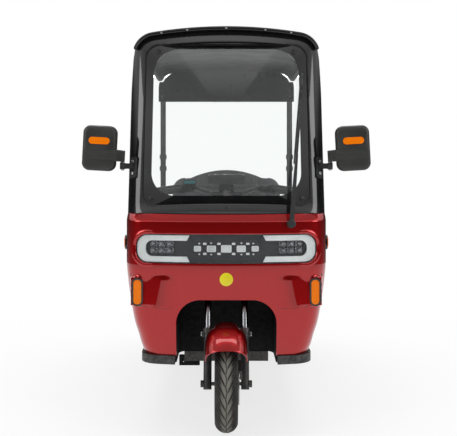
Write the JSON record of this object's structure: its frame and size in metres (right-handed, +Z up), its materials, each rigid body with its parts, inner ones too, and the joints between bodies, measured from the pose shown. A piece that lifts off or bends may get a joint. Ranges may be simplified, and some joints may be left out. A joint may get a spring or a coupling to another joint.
{
  "type": "electric tricycle",
  "caption": "Roofed electric tricycle with open sides: steered front wheel on a telescopic fork, curved cowl with lamp bar and windscreen, driver seat, passenger bench, driven rear wheels.",
  "frame": {"origin": "middle of the box that holds the whole, at ground level", "axes": "+Z up, +Y towards the rear, +X towards the vehicle's left"},
  "size_m": [1.299, 2.1503, 1.7959],
  "materials": {
    "red_paint": "glossy metallic red",
    "black_gloss": "gloss black",
    "black_matte": "grained matte black",
    "frame_paint": "satin black",
    "glass": "clear",
    "clear_lens": "clear",
    "lamp_grey": "satin grey",
    "lamp_white": "milky white",
    "amber": "clear amber",
    "red_lens": "clear red",
    "mirror": "mirror",
    "yellow": "gloss yellow",
    "seat": "stitched black",
    "chrome": "polished",
    "steel": "ground",
    "alloy": "dark cast",
    "motor_alloy": "cast",
    "rubber": "matte",
    "tyre": "matte",
    "battery": "matte"
  },
  "bodies": {
    "chassis": {"frame": "frame_paint", "rear_rails": "frame_paint", "crossbars": "frame_paint", "steering_neck": "frame_paint", "front_bracket": "frame_paint", "floor_board": "black_matte", "front_panel": "red_paint", "wheel_liner": "black_matte", "windscreen_frame": "black_gloss", "windscreen": "glass", "roof": "black_gloss", "rear_valance": "black_gloss", "rear_posts": "frame_paint", "lamp_housing": "lamp_grey", "light_guides": "lamp_white", "lamp_leds": "lamp_white", "lamp_lens": "clear_lens", "lamp_rims": "black_matte", "amber_lenses": "amber", "mirror_arms": "black_matte", "mirror_shells": "black_matte", "mirror_glasses": "mirror", "badge": "yellow", "dashboard": "black_matte", "seat_box": "red_paint", "battery": "battery", "driver_cushion": "seat", "driver_back": "seat", "rear_body": "red_paint", "rear_cushion": "seat", "rear_back_pad": "seat", "rear_bumper": "black_matte", "tail_lamps": "red_lens", "rear_axle": "frame_paint", "motor": "motor_alloy", "leaf_springs": "frame_paint"},
    "steering": {"fork_crown": "frame_paint", "fork_tubes": "chrome", "fork_sliders": "frame_paint", "front_mudguard": "red_paint", "handlebar": "frame_paint", "grips": "rubber", "brake_levers": "black_matte", "instrument": "black_gloss", "brake_caliper": "alloy"},
    "front_wheel": {"front_tyre": "tyre", "front_rim": "alloy", "brake_disc": "steel"},
    "rear_wheel_left": {"rear_tyre_left": "tyre", "rear_rim_left": "alloy"},
    "rear_wheel_right": {"rear_tyre_right": "tyre", "rear_rim_right": "alloy"},
    "wiper": {"wiper_arm": "black_matte", "wiper_blade": "rubber"}
  },
  "joints": [
    {"name": "steer", "type": "hinge", "parent": "chassis", "child": "steering", "pos_m": [0, -0.83726, 0.19303], "axis": [0, 0.342, 0.9397], "range_deg": [-40, 40]},
    {"name": "front_wheel_spin", "type": "hinge", "parent": "steering", "child": "front_wheel", "pos_m": [0, -0.87015, 0.205], "axis": [1, 0, 0], "continuous": true},
    {"name": "rear_wheel_left_spin", "type": "hinge", "parent": "chassis", "child": "rear_wheel_left", "pos_m": [0.38, 0.67985, 0.205], "axis": [1, 0, 0], "continuous": true},
    {"name": "rear_wheel_right_spin", "type": "hinge", "parent": "chassis", "child": "rear_wheel_right", "pos_m": [-0.38, 0.67985, 0.205], "axis": [1, 0, 0], "continuous": true},
    {"name": "wiper_sweep", "type": "hinge", "parent": "chassis", "child": "wiper", "pos_m": [0.277, -0.82402, 0.8913], "axis": [0.1979, -0.9511, 0.2371], "range_deg": [0, 65]}
  ]
}
